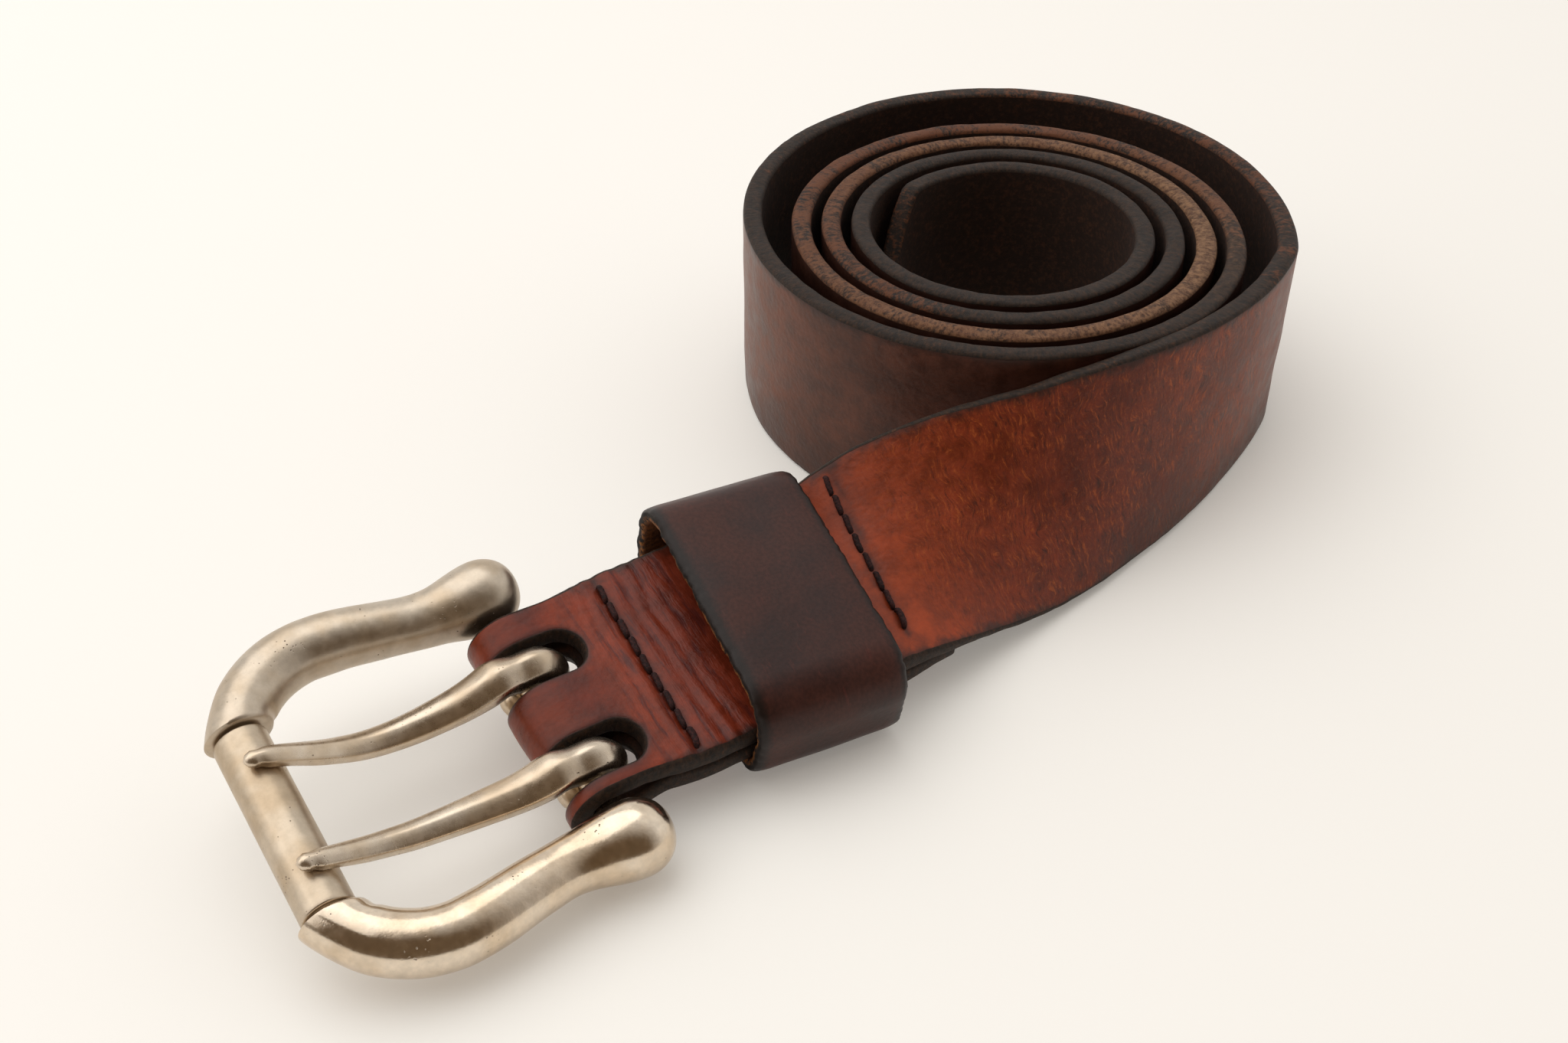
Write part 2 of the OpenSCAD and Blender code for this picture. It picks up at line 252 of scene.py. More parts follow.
def relief(s, w):
    """How far the leather stands out of its even thickness on the grain side."""
    p = s - s_up(0)
    out = 0.16 * lattice_noise(s / 17, w / 9 + 40, 3) + 0.06 * lattice_noise(s / 5, w / 4, 4)
    for row, depth in ((ROW_FRONT, 0.38), (ROW_BACK, 0.22)):
        d = p - row_line(row, w)
        out = out - depth * bump(d, 0.85) + 0.12 * bump(d + 2.2, 1.2) + 0.1 * bump(d - 2.2, 1.2)
    # Creases that run beside the front row, between it and the keeper
    bend = 1.1 * lattice_noise(w / 8 + 3, p * 0, 8)
    zone = ease((p - 16.5) / 3) * (1 - ease((p - 29) / 6))
    wave = np.sin((p + bend + 0.02 * w) * 2 * math.pi / 2.9)
    out = out + zone * (0.13 + 0.1 * lattice_noise(w / 5, p / 3, 9)) * wave
    zone = ease((p - 9.5) / 2.5) * (1 - ease((p - 14) / 1.5))
    out = out + zone * 0.1 * np.sin((p + 0.6 * bend) * 2 * math.pi / 2.2)
    low = s < s_low(0.1)
    return np.where(low, 0.1 * lattice_noise(s / 7, w / 6, 5), out)


def strap_point(s, w, side, drop=0.0):
    """A point on the grain (side 1) or flesh (side -1) face, taken drop into the leather."""
    c, wd, n = along(LINE_C, s), along(LINE_W, s), along(LINE_N, s)
    h = HALF_T - drop + (relief(s, w) if side > 0 else 0.05 * lattice_noise(s / 3, w / 3, 6))
    return c + wd * w[..., None] + n * (side * h)[..., None]


# ------ mesh helpers
def store(mesh, name, values):
    """Keeps three numbers for each point of a mesh, under a name that materials can read."""
    data = mesh.attributes.new(name, "FLOAT_VECTOR", "POINT").data
    data.foreach_set("vector", np.asarray(values, np.float32).ravel())


def new_object(name, verts, faces, body, slot, node, belt, merge=0.0, sharp=None):
    """Makes a mesh object from points in mm, on a CAD body. It stands for a node. belt is what the materials read."""
    mesh = bpy.data.meshes.new(name)
    mesh.from_pydata((np.asarray(verts) * 0.001).tolist(), [], faces)
    store(mesh, "belt", belt)
    bm = bmesh.new()
    bm.from_mesh(mesh)
    if merge:
        bmesh.ops.remove_doubles(bm, verts=bm.verts, dist=merge * 0.001)
    bmesh.ops.recalc_face_normals(bm, faces=bm.faces)
    bm.to_mesh(mesh)
    bm.free()
    mesh.shade_smooth()
    if sharp:
        mesh.set_sharp_from_angle(angle=math.radians(sharp))
    obj = bpy.data.objects.new(name, mesh)
    bpy.context.scene.collection.objects.link(obj)
    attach(obj, body)
    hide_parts(node)
    return obj


def grid_faces(rows, cols, wrap=False):
    """Faces of a grid of points, whose columns may close into a ring."""
    i, j = np.meshgrid(np.arange(rows - 1), np.arange(cols if wrap else cols - 1), indexing="ij")
    k = (j + 1) % cols
    f = np.stack([i * cols + j, (i + 1) * cols + j, (i + 1) * cols + k, i * cols + k], -1)
    return f.reshape(-1, 4).tolist()


def closed_tube(rings):
    """Points and faces of a tube of rings of points, with a face on each end."""
    n, m = rings.shape[:2]
    faces = grid_faces(n, m, wrap=True) + [list(range(m)), list(range((n - 1) * m, n * m))]
    return rings.reshape(-1, 3), faces


class Pile:
    """Collects patches of one mesh."""

    def __init__(self):
        self.verts, self.faces, self.data, self.count = [], [], [], 0

    def add(self, verts, faces, data):
        self.faces += [[i + self.count for i in f] for f in faces]
        self.verts.append(verts.reshape(-1, 3))
        self.data.append(data.reshape(-1, 3))
        self.count += len(self.verts[-1])

    def tube(self, rings, data=None):
        verts, faces = closed_tube(rings)
        self.add(verts, faces, np.zeros_like(verts) if data is None else data)

    def make(self, name, body, slot, node, **more):
        return new_object(name, np.concatenate(self.verts), self.faces, body, slot, node,
                          np.concatenate(self.data), **more)


# ------ the strap
RIM, SLOT_RIM = 0.9, 0.7  # how far the rounding of a cut edge and of a slot's edge reaches
COLS = np.linspace(-1, 1, 43)


def capsule(w0, s0, s1, r, d, step):
    """Outline of a slot from s0 to s1, moved outwards by d, as points (s, w)."""
    r, n = r + d, max(10, int(math.pi * (r + 0.5) / step))
    a = np.linspace(-math.pi / 2, math.pi / 2, n)
    far = np.stack([s1 + r * np.cos(a), w0 + r * np.sin(a)], -1)
    near = np.stack([s0 - r * np.cos(a), w0 - r * np.sin(a)], -1)
    m = int((s1 - s0) / step)
    if m > 1:
        t = np.linspace(s1, s0, m + 1)[1:-1]
        top = np.stack([t, np.full(len(t), w0 + r)], -1)
        low = np.stack([t[::-1], np.full(len(t), w0 - r)], -1)
        return np.concatenate([far, top, near, low])
    return np.concatenate([far[:-1], near[:-1]]) if s1 - s0 < 0.01 else np.concatenate([far, near])


def slot_distance(p, w0, s0, s1, r):
    """How far points (s, w) lie outside a slot."""
    ds = np.clip(p[..., 0], s0, s1) - p[..., 0]
    return np.hypot(ds, p[..., 1] - w0) - r


def inner_half(s):
    """Half the width of the face, without the rounding of its edges."""
    return along(LINE_H, s) - RIM


def end_drop(s):
    """How much the section shrinks in the last bit of each end."""
    d = np.minimum(s, S_END - s)
    return RIM - np.sqrt(np.clip(RIM ** 2 - np.clip(RIM - d, 0, None) ** 2, 0, None))


def sheet_data(s, w, side, rim=9.0):
    """What the materials read: place along and across, and 1 on the grain side to -1 on the flesh side."""
    return np.stack([s, w, np.clip(side * np.minimum(1, 0.25 + rim / 0.9), -1, 1) + 0 * s], -1)


def holed_patch(pile, s_list, slots, step):
    """Both faces of the strap over s_list, with slots cut through it and rounded rims."""
    s0, s1 = s_list[0], s_list[-1]
    pts, loops, rims = [], [], [0, 0.1, 0.25, 0.45, SLOT_RIM]
    for v in COLS:
        pts += [(s0, v), (s1, v)]
    for s in s_list[1:-1]:
        pts += [(s, -1.0), (s, 1.0)]
    grid_s = np.arange(s0 + step, s1 - step / 2, step)
    grid_w = np.arange(-HALF_W, HALF_W, step)
    g = np.stack(np.meshgrid(grid_s, grid_w, indexing="ij"), -1).reshape(-1, 2)
    keep = np.abs(g[:, 1]) < inner_half(g[:, 0]) - step * 0.6
    for c in slots:
        keep &= slot_distance(g, *c) > rims[-1] + step * 0.55
    pts += [(a, b / inner_half(a)) for a, b in g[keep]]
    edges = []
    for c in slots:
        for d in rims:
            ring = capsule(*c, d, min(step, 0.5))
            first = len(pts)
            pts += [(a, b / inner_half(a)) for a, b in ring]
            ids = [first + i for i in range(len(ring))]
            edges += list(zip(ids, ids[1:] + ids[:1]))
            if d == 0:
                loops.append(ring)
    flat = [Vector((a, b * HALF_W)) for a, b in pts]
    verts, _, faces, *_ = delaunay_2d_cdt(flat, edges, [], 0, 1e-5)
    p = np.array([(v.x, v.y / HALF_W) for v in verts])
    p[:, 1] *= inner_half(p[:, 0])
    rim = np.min([slot_distance(p, *c) for c in slots], axis=0)
    centre = np.array([p[list(f)].mean(0) for f in faces])
    inside = np.min([slot_distance(centre, *c) for c in slots], axis=0) < -1e-3
    faces = [list(f) for f, gone in zip(faces, inside) if not gone]
    drop = SLOT_RIM - np.sqrt(np.clip(SLOT_RIM ** 2 - np.clip(SLOT_RIM - rim, 0, None) ** 2, 0, None))
    for side in (1, -1):
        pile.add(strap_point(p[:, 0], p[:, 1], side, drop), faces, sheet_data(p[:, 0], p[:, 1], side, rim))
    for ring in loops:
        top, low = (strap_point(ring[:, 0], ring[:, 1], side, np.full(len(ring), SLOT_RIM)) for side in (1, -1))
        wall = np.stack([mix(top, low, k / 3) for k in range(4)])
        pile.add(wall, grid_faces(4, len(ring), wrap=True),
                 np.stack([sheet_data(ring[:, 0], ring[:, 1], k, 0.0) for k in (1, 0.3, -0.3, -1)]))


def plain_patch(pile, s_list):
    """Both faces of the strap over s_list."""
    s, v = np.meshgrid(s_list, COLS, indexing="ij")
    w = v * inner_half(s)
    for side in (1, -1):
        pile.add(strap_point(s, w, side, end_drop(s)), grid_faces(*s.shape), sheet_data(s, w, side))


def edge_patch(pile, s_list, hand):
    """One cut edge of the strap, two rounded corners and a rough wall. Gives back its points."""
    corner = np.radians([90, 68, 45, 22, 0])
    q = [(RIM * math.cos(a), HALF_T - RIM + RIM * math.sin(a)) for a in corner]
    wall = [(RIM + 0.1, 0.35), (RIM + 0.1, -0.35)]
    prof = np.array(q + wall + [(x, -y) for x, y in q[::-1]])
    s = np.repeat(s_list[:, None], len(prof), axis=1)
    out, h = np.broadcast_to(prof[:, 0], s.shape), np.broadcast_to(prof[:, 1], s.shape)
    drop, inner = end_drop(s), inner_half(s)
    flat = np.clip(1 - out / RIM, 0, 1)  # 1 where the face starts, 0 on the wall
    w = hand * (inner + out * (1 - drop / RIM * 0.6))
    face = np.where(h > 0, relief(s, hand * inner), -0.05 * lattice_noise(s / 3, hand * inner / 3, 6))
    lift = face * np.clip(np.abs(h) / HALF_T, 0, 1)
    rough = 0.1 * lattice_noise(s / 1.9, h * 1.2 + 7 * hand, 11) + 0.13 * lattice_noise(s / 6.5, h * 0.4, 12)
    w = w + hand * rough * (1 - flat)
    n = np.sign(h) * np.clip(np.abs(h) - drop, 0, None) + lift
    c, wd, nn = (along(v, s_list)[:, None] for v in (LINE_C, LINE_W, LINE_N))
    v = c + wd * w[..., None] + nn * n[..., None]
    tag = np.clip(h / HALF_T * 1.15, -1, 1) * np.where(out > 0.3, 0.45, 1)
    data = np.stack([s, hand * (inner + out), tag], -1)
    pile.add(v, grid_faces(len(s_list), len(prof)), data)
    return v


def slot_shapes():
    """The two slots for the prongs, which go round the fold."""
    ends = s_low(SLOT_END - SLOT_R), s_up(SLOT_END - SLOT_R)
    return [(PRONG_SHIFT + k * PRONG_W, *ends, SLOT_R) for k in (-1, 1)]


def build_strap():
    pile = Pile()
    # Stretches with holes: start, end, holes and size of the mesh there
    blocks = [(s_low(12.5), s_up(23), slot_shapes(), 0.55)]
    for back in HOLES_BACK[::-1]:
        at = S_END - back
        blocks.append((at - 5, at + 5, [(k * PRONG_W, at, at, HOLE_R) for k in (-1, 1)], 0.8))
    s, lists = 0.0, []
    end = np.array([0.04, 0.15, 0.4, 0.65, 0.9])  # finer steps where an end is rounded
    for a, b, holes, step in blocks + [(S_END, S_END, None, 1)]:
        n = max(2, int((a - s) / 1.25))
        plain = np.linspace(s, a, n + 1)
        if s == 0:
            plain = np.unique(np.r_[plain, end])
        if a == S_END:
            plain = np.unique(np.r_[plain, S_END - end])
        lists.append(plain)
        plain_patch(pile, plain)
        if holes:
            fine = np.linspace(a, b, max(2, int((b - a) / step)) + 1)
            lists.append(fine)
            holed_patch(pile, fine, holes, step)
        s = b
    s_all = np.unique(np.round(np.concatenate(lists), 9))
    sides = [edge_patch(pile, s_all, hand) for hand in (1, -1)]
    for k in (0, -1):  # the small face that closes each end
        at = np.full(len(COLS), s_all[k])
        rows = [strap_point(at, COLS * inner_half(at), side, end_drop(at)) for side in (1, -1)]
        ring = np.concatenate([rows[0], sides[0][k][1:-1], rows[1][::-1], sides[1][k][1:-1][::-1]])
        pile.add(ring, [list(range(len(ring)))], np.tile([s_all[k], 0, 0.0], (len(ring), 1)))
    for verts in pile.verts:
        verts[:, 2] = np.maximum(verts[:, 2], 0.02)  # the roll stands flat
    return pile.make("strap_leather", "strap", "strap_leather", "strap", merge=0.004)


# ------ the keeper
def rounded_loop(a, b0, b1, r_low, r_top, count):
    """A rounded rectangle from the middle of its low side round to it, and its outward normals."""
    pts, nrm = [], []
    for sx, sy, r, start in ((1, -1, r_low, -90), (1, 1, r_top, 0), (-1, 1, r_top, 90), (-1, -1, r_low, 180)):
        cx, cy = sx * (a - r), b1 - r if sy > 0 else b0 + r
        for t in np.radians(np.linspace(start, start + 90, 16)):
            pts.append((cx + r * math.cos(t), cy + r * math.sin(t)))
            nrm.append((math.cos(t), math.sin(t)))
    pts = np.array([(0.15, b0)] + pts + [(-0.15, b0)])
    nrm = np.array([(0, -1)] + nrm + [(0, -1)])
    q = lengths(pts)
    t = np.linspace(0, q[-1], count)
    return t, sample(t, q, pts), unit(sample(t, q, nrm))


def keeper_point(u, w, n):
    """Places points of the keeper, which sits a little askew on the strap."""
    k = math.radians(-KEEPER_SKEW)
    return leaning(KEEPER_X + u * math.cos(k) - w * math.sin(k), u * math.sin(k) + w * math.cos(k), n)


def build_keeper():
    half = KEEPER_T / 2
    t, p, n = rounded_loop(KEEPER_IN + half, KEEPER_LOW - half, KEEPER_TOP + half, 4.4, 6.3, 240)
    r, hl = 0.85, KEEPER_L / 2
    corner = np.radians([90, 67, 45, 22, 0])
    us = np.linspace(-hl + r, hl - r, 26)
    # Section of the leather band: its outside, one rounded edge, its inside, the other edge
    turn = lambda sx, sy, angles: [(sx * (hl - r + r * math.cos(a)), sy * (half - r + r * math.sin(a)))
                                   for a in angles]
    prof = [(u, half) for u in us] + turn(1, 1, corner[1:]) + turn(1, -1, corner[::-1])
    prof += [(u, -half) for u in us[::-1][1:]] + turn(-1, -1, corner[1:]) + turn(-1, 1, corner[::-1][:-1])
    prof = np.array(prof)
    u, h = prof[None, :, 0], prof[None, :, 1]
    tt = t[:, None]
    edge = ease((np.abs(u) - hl + 1.3) / 1.0)
    fray = 0.2 * lattice_noise(tt / 0.9 + 0 * u, h + 3, 21) + 0.16 * lattice_noise(tt / 4 + 0 * u, h * 0.5, 22)
    uu = u + np.sign(u) * edge * np.minimum(fray, 0.2)
    uu = uu + 0.35 * lattice_noise(tt / 30 + 0 * u, 0 * h, 23)
    top = p[:, None, 1] > KEEPER_TOP
    crown = np.where(top, 0.35 * (1 - (p[:, None, 0] / KEEPER_IN) ** 2), 0)
    hh = h + 0.12 * lattice_noise(tt / 11 + 0 * u, u / 8, 24) + np.clip(crown, 0, None)
    hh = hh - 0.22 * np.clip(h, 0, None) * bump(np.abs(u) - hl, 1.6)
    v = keeper_point(uu, p[:, None, 0] + n[:, None, 0] * hh, p[:, None, 1] + n[:, None, 1] * hh)
    data = np.stack([tt + 0 * uu, uu, h / half + 0 * uu], -1)
    new_object("keeper_leather", *closed_tube(v), "keeper", "keeper_leather", "keeper", data)


def tube(path, radius, sides, flat, squash=1.0, twist=0.0, ply=0.0):
    """Rings of a tube along a path, squashed along the directions flat, with a twisted surface where ply isn't 0."""
    t = unit(np.gradient(path, axis=0))
    side = unit(np.cross(t, flat))
    up = np.cross(side, t)
    d = lengths(path)
    a = np.linspace(0, 2 * math.pi, sides, endpoint=False)[None]
    r = np.broadcast_to(radius, len(path))[:, None] * (1 + ply * np.abs(np.cos(1.5 * a - twist * d[:, None])))
    return (path[:, None] + side[:, None] * (r * np.cos(a))[..., None]
            + up[:, None] * (r * np.sin(a) * squash)[..., None])


def build_stitches(name, row, node):
    """A row of twisted stitches, above the upper layer and below the lower one."""
    pile = Pile()
    rng = np.random.RandomState(31)
    ws = np.linspace(row[2], row[3], row[4] + 1)
    t = np.linspace(0, 1, 20)
    rise = np.clip(np.minimum(t, 1 - t) / 0.2, 0, 1)
    for face in (1, -1):
        for i in range(row[4]):
            rng.uniform()  # not used, but it keeps the order of the draws
            w = mix(ws[i] + 0.12, ws[i + 1] - 0.12, t)
            x = row_line(row, w) + 0.22 * np.sin(math.pi * t) * rng.uniform(-1, 1) + (t - 0.5) * 0.35
            c, wd, n = upper(x)
            h = HALF_T - 1.1 + (1.1 + 0.22 + rng.uniform(-0.05, 0.08)) * np.sqrt(1 - (1 - rise) ** 2)
            lift = h if face > 0 else -(layer_gap(x) + h)
            path = c + wd * w[:, None] + n * lift[:, None]
            r = 0.44 * (0.8 + 0.2 * rise) * rng.uniform(0.93, 1.07)
            rings = tube(path, r, 14, n * face, squash=0.86, twist=3.2, ply=0.16)
            pile.tube(rings, np.tile([float(i), 0, 0], (rings.size // 3, 1)))
    pile.make(name, "strap", "thread", node)


def build_staples():
    """Two wires across the keeper's seam, with their legs in the leather."""
    pile = Pile()
    leg, half, low = np.array([1.9, 1.2, 0.7, 0.45]), 3.5, KEEPER_LOW - KEEPER_T
    for u in (-6, 6):
        w = np.r_[[-half] * 4, np.linspace(-half, half, 12), [half] * 4]
        n = np.r_[low + leg, np.full(12, low + 0.12), low + leg[::-1]]
        w[3], w[16] = -half + 0.08, half - 0.08
        pile.tube(tube(keeper_point(np.full(20, float(u)), w, n), 0.42, 12, X))
    pile.make("keeper_staple_wires", "keeper", "staple_wire", "keeper_staples")


# ------ the buckle
def smooth_path(points, count):
    """A Catmull-Rom curve through points, at even distances."""
    p = np.array(points, float)
    p = np.vstack([2 * p[0] - p[1], p, 2 * p[-1] - p[-2]])
    out = []
    for i in range(1, len(p) - 2):
        t = np.linspace(0, 1, 40, endpoint=False)[:, None]
        a, b, c, d = p[i - 1:i + 3]
        out.append(0.5 * (2 * b + (c - a) * t + (2 * a - 5 * b + 4 * c - d) * t ** 2
                          + (3 * b - a - 3 * c + d) * t ** 3))
    out = np.vstack(out + [p[-2:-1]])
    q = lengths(out)
    t = np.linspace(0, q[-1], count)
    return t, sample(t, q, out)


def arm_rings(hand):
    """An arm from its face beside the roller, round the bend, along to the heel bulb."""
    bend_c, bend_r = np.array([-28.2, 10.4]), 16.3
    first = math.asin((ROLLER_W + 0.55 - bend_c[1]) / bend_r)
    a = np.linspace(math.pi - first, math.pi / 2, 9)
    knots = [bend_c + bend_r * np.array([math.cos(x), math.sin(x)]) for x in a]
    knots += [np.array(k) for k in ((-23.5, 26.35), (-17, 25.25), (-11, 24.45), (-5.5, 24.4), (0, BULB_W))]
    d, c = smooth_path(knots, 120)
    z = d - d[-1]  # distance before the middle of the bulb
    r = np.interp(z, (-26, -17, -12, -8, -4.5, -1.5, 0), (ARM_R, 4.5, 4.35, 4.65, 5.5, BULB_R, BULB_R))
    r = soften(r, 7, 4.0, {"mode": "edge"})
    r = r - 0.6 * (1 - np.sqrt(np.clip(1 - (1 - np.clip(d / 0.6, 0, 1)) ** 2, 0, 1)))
    sink = -1.15 * ease((z + 24) / 22)  # the arms dip towards the heel bar
    t = unit(np.gradient(c, axis=0))
    # The first faces lie along the roller's end, then turn square to the arm
    square = ease(d / 7)[:, None]
    side = np.stack([-t[:, 1], t[:, 0]], -1)
    start = np.array([np.sign(side[0, 0]), 0])
    side = mix(start * (1 / max(0.2, abs(start @ side[0]))), side, square)
    # The bulb's round end
    q = np.radians(np.linspace(4, 90, 14))
    end_t = t[-1]
    c = np.vstack([c, c[-1] + end_t * (BULB_R * 0.98 * np.sin(q))[:, None]])
    r = np.r_[r, BULB_R * np.clip(np.cos(q), 0.02, None) ** 0.8]
    sink = np.r_[sink, np.full(len(q), sink[-1])]
    side = np.vstack([side, np.tile(side[-1], (len(q), 1))])
    k = np.linspace(0, 2 * math.pi, 64, endpoint=False)
    wob = 1 + 0.008 * lattice_noise(np.arange(len(c))[:, None] / 9.0, np.sin(k)[None] * 1.7 + 5 * hand, 41)
    rr = r[:, None] * wob
    u = c[:, None, 0] + side[:, None, 0] * rr * np.cos(k)
    w = c[:, None, 1] + side[:, None, 1] * rr * np.cos(k)
    n = rr * np.sin(k) + sink[:, None]
    along_arm = np.r_[d, d[-1] + BULB_R * np.sin(q)]
    data = np.stack([along_arm[:, None] + 0 * u, k[None] * 4.8 + 0 * u, np.full_like(u, hand)], -1)
    return leaning(u, hand * w, n), data


def build_buckle():
    pile = Pile()
    for hand in (1, -1):
        pile.tube(*arm_rings(hand))
    w = np.linspace(-BULB_W + 0.6, BULB_W - 0.6, 60)
    flare = HEEL_R + 2.2 * np.clip((np.abs(w) - (BULB_W - 6.6)) / 3.0, 0, 1) ** 2
    pile.tube(tube(leaning(0, w, HEEL_N + 0.25 * (flare - HEEL_R)), flare, 32, X))
    w = np.linspace(-ROLLER_W - 1.6, ROLLER_W + 1.6, 12)
    pile.tube(tube(leaning(-REACH, w, 0), FRONT_R, 40, X))
    pile.make("buckle_body", "buckle", "buckle_metal", "buckle_frame", sharp=55)


def build_roller():
    """A rolled tube: its section is a C whose lips meet at a seam on the inner side."""
    r0, r1, gap = FRONT_R + 0.09, ROLLER_R, 0.05
    out = np.linspace(gap, 2 * math.pi - gap, 110)
    shift = math.radians(8)
    lip = np.linspace(0, 1, 5)[1:-1]
    pts = [(r1 * math.cos(a), r1 * math.sin(a)) for a in out]
    pts += [(mix(r1, r0, t) * math.cos(-gap), mix(r1, r0, t) * math.sin(-gap)) for t in lip]
    pts += [(r0 * math.cos(a), r0 * math.sin(a)) for a in out[::-1]]
    pts += [(mix(r0, r1, t) * math.cos(gap), mix(r0, r1, t) * math.sin(gap)) for t in lip]
    pts = np.array(pts)
    rad = np.hypot(pts[:, 0], pts[:, 1])
    ang = np.arctan2(pts[:, 1], pts[:, 0])
    lipped = 0.28 * bump(ang, 0.07) * (rad > r0 + 0.3)  # the lips are rolled in
    w = np.r_[-ROLLER_W + np.array([0, 0.05, 0.15, 0.32]), np.linspace(-ROLLER_W + 0.8, ROLLER_W - 0.8, 40),
              ROLLER_W - np.array([0.32, 0.15, 0.05, 0])]
    worn = 0.32  # rounding of the tube's ends
    d = np.clip(ROLLER_W - np.abs(w), 0, worn)
    drop = worn - np.sqrt(worn ** 2 - (worn - d) ** 2)
    share = (rad - r0) / (r1 - r0)
    r = rad[None] - drop[:, None] * share[None] - lipped[None]
    r = r + 0.012 * lattice_noise(w[:, None] / 4 + 0 * ang, ang[None] * 3, 43) * share
    a = ang[None] + shift
    v = leaning(-REACH + r * np.cos(a), w[:, None] + 0 * r, r * np.sin(a))
    data = np.stack([w[:, None] + 0 * r, a * ROLLER_R + 0 * r, np.full_like(r, 3.0)], -1)
    new_object("roller_tube", *closed_tube(v), "roller", "roller_metal", "roller", data, sharp=50)


def prong_line(curve):
    """Middle line of a prong in its side view, from the open end of its hook to its tip."""
    t = np.linspace(0, 1, 70)
    n = sum(math.comb(5, i) * t ** i * (1 - t) ** (5 - i) * c for i, c in enumerate(curve))
    u = -6 - (-6 - TIP_U) * t
    half = mix(1.95, 1.08, t)
    a = np.radians(np.arange(-158, 118, 6.0))
    crown = mix(6.4, 7.35, ease((np.degrees(a) - 20) / 60))
    mid = (HEEL_R + 0.1 + crown) / 2
    hook = np.stack([mid * np.cos(a), HEEL_N + mid * np.sin(a)], -1)
    hook_half = (crown - HEEL_R - 0.1) / 2
    pts = np.vstack([hook, np.stack([u, n], -1)])
    halves = np.r_[hook_half, half]
    q = lengths(pts)
    s = np.linspace(0, q[-1], 150)
    return s, [soften(np.interp(s, q, v), 6, 3.2, MIRROR) for v in (pts[:, 0], pts[:, 1], halves)]


def build_prong(name, node, w0, curve, body):
    """A prong from its hook round the heel bar to the small ball on its tip."""
    s, (u, n, half) = prong_line(curve)
    left = s[-1] - s
    t = unit(np.stack([np.gradient(u), np.gradient(n)], -1))
    up = np.stack([t[:, 1], -t[:, 0]], -1)  # out of the hook, up on the blade
    share = np.clip((-8 - u) / (-8 - TIP_U), 0, 1) * (s > 20)
    wide = mix(3.3, 1.4, share ** 0.8) - 0.4 * ease((u + 7) / 4)  # the hook is narrower, to turn in its slot
    mid_w = w0 + PRONG_SHIFT + 1.2 * share
    # The tip: a waist, then a small ball
    ball = np.sqrt(np.clip(1 - ((left - 1.15) / 1.15) ** 2, 0.02, 1))
    wide = np.where(left < 1.15, 1.18 * ball, wide - 0.22 * bump(left - 2.3, 0.7))
    half = np.where(left < 1.15, 1.08 * ball, half)
    start = np.sqrt(np.clip(1 - (1 - s / 1.6) ** 2, 0.03, 1))
    wide, half = np.where(s < 1.6, wide * start, wide), np.where(s < 1.6, half * start, half)
    # Section: a ridge over two slopes, upright flanks and a flat underside, all with worn corners
    sec = np.array([(0, 1.12), (0.16, 1.09), (0.45, 0.9), (0.76, 0.62), (0.93, 0.44), (1.0, 0.22), (1.0, -0.1),
                    (0.98, -0.6), (0.86, -0.9), (0.6, -1.0), (0.25, -1.0), (0, -1.0)])
    sec = np.vstack([sec, (sec[1:-1] * [-1, 1])[::-1]])
    k = np.arctan2(sec[:, 1], sec[:, 0])
    round_sec = np.stack([np.cos(k), np.sin(k)], -1)
    blend = np.clip(ease((left - 1.2) / 2.5), 0, 1)[:, None, None] * ease((s - 1) / 6)[:, None, None]
    q = mix(round_sec[None], sec[None], blend)
    b = q[..., 1] * half[:, None]
    a = q[..., 0] * wide[:, None] + 0.05 * lattice_noise(s[:, None] / 4 + 0 * b, b + 9, 51)
    v = leaning(u[:, None] + up[:, None, 0] * b, mid_w[:, None] + a, n[:, None] + up[:, None, 1] * b)
    data = np.stack([s[:, None] + 0 * b, a, b], -1)
    new_object(name, *closed_tube(v), body, "prong_metal", node, data)


STRAP = build_strap()
build_keeper()
build_stitches("thread_front", ROW_FRONT, "stitches_front")
build_stitches("thread_back", ROW_BACK, "stitches_back")
build_staples()
build_buckle()
build_roller()
build_prong("prong_far_blade", "prong_far", PRONG_W, FAR_CURVE, "prong_far")
build_prong("prong_near_blade", "prong_near", -PRONG_W, NEAR_CURVE, "prong_near")

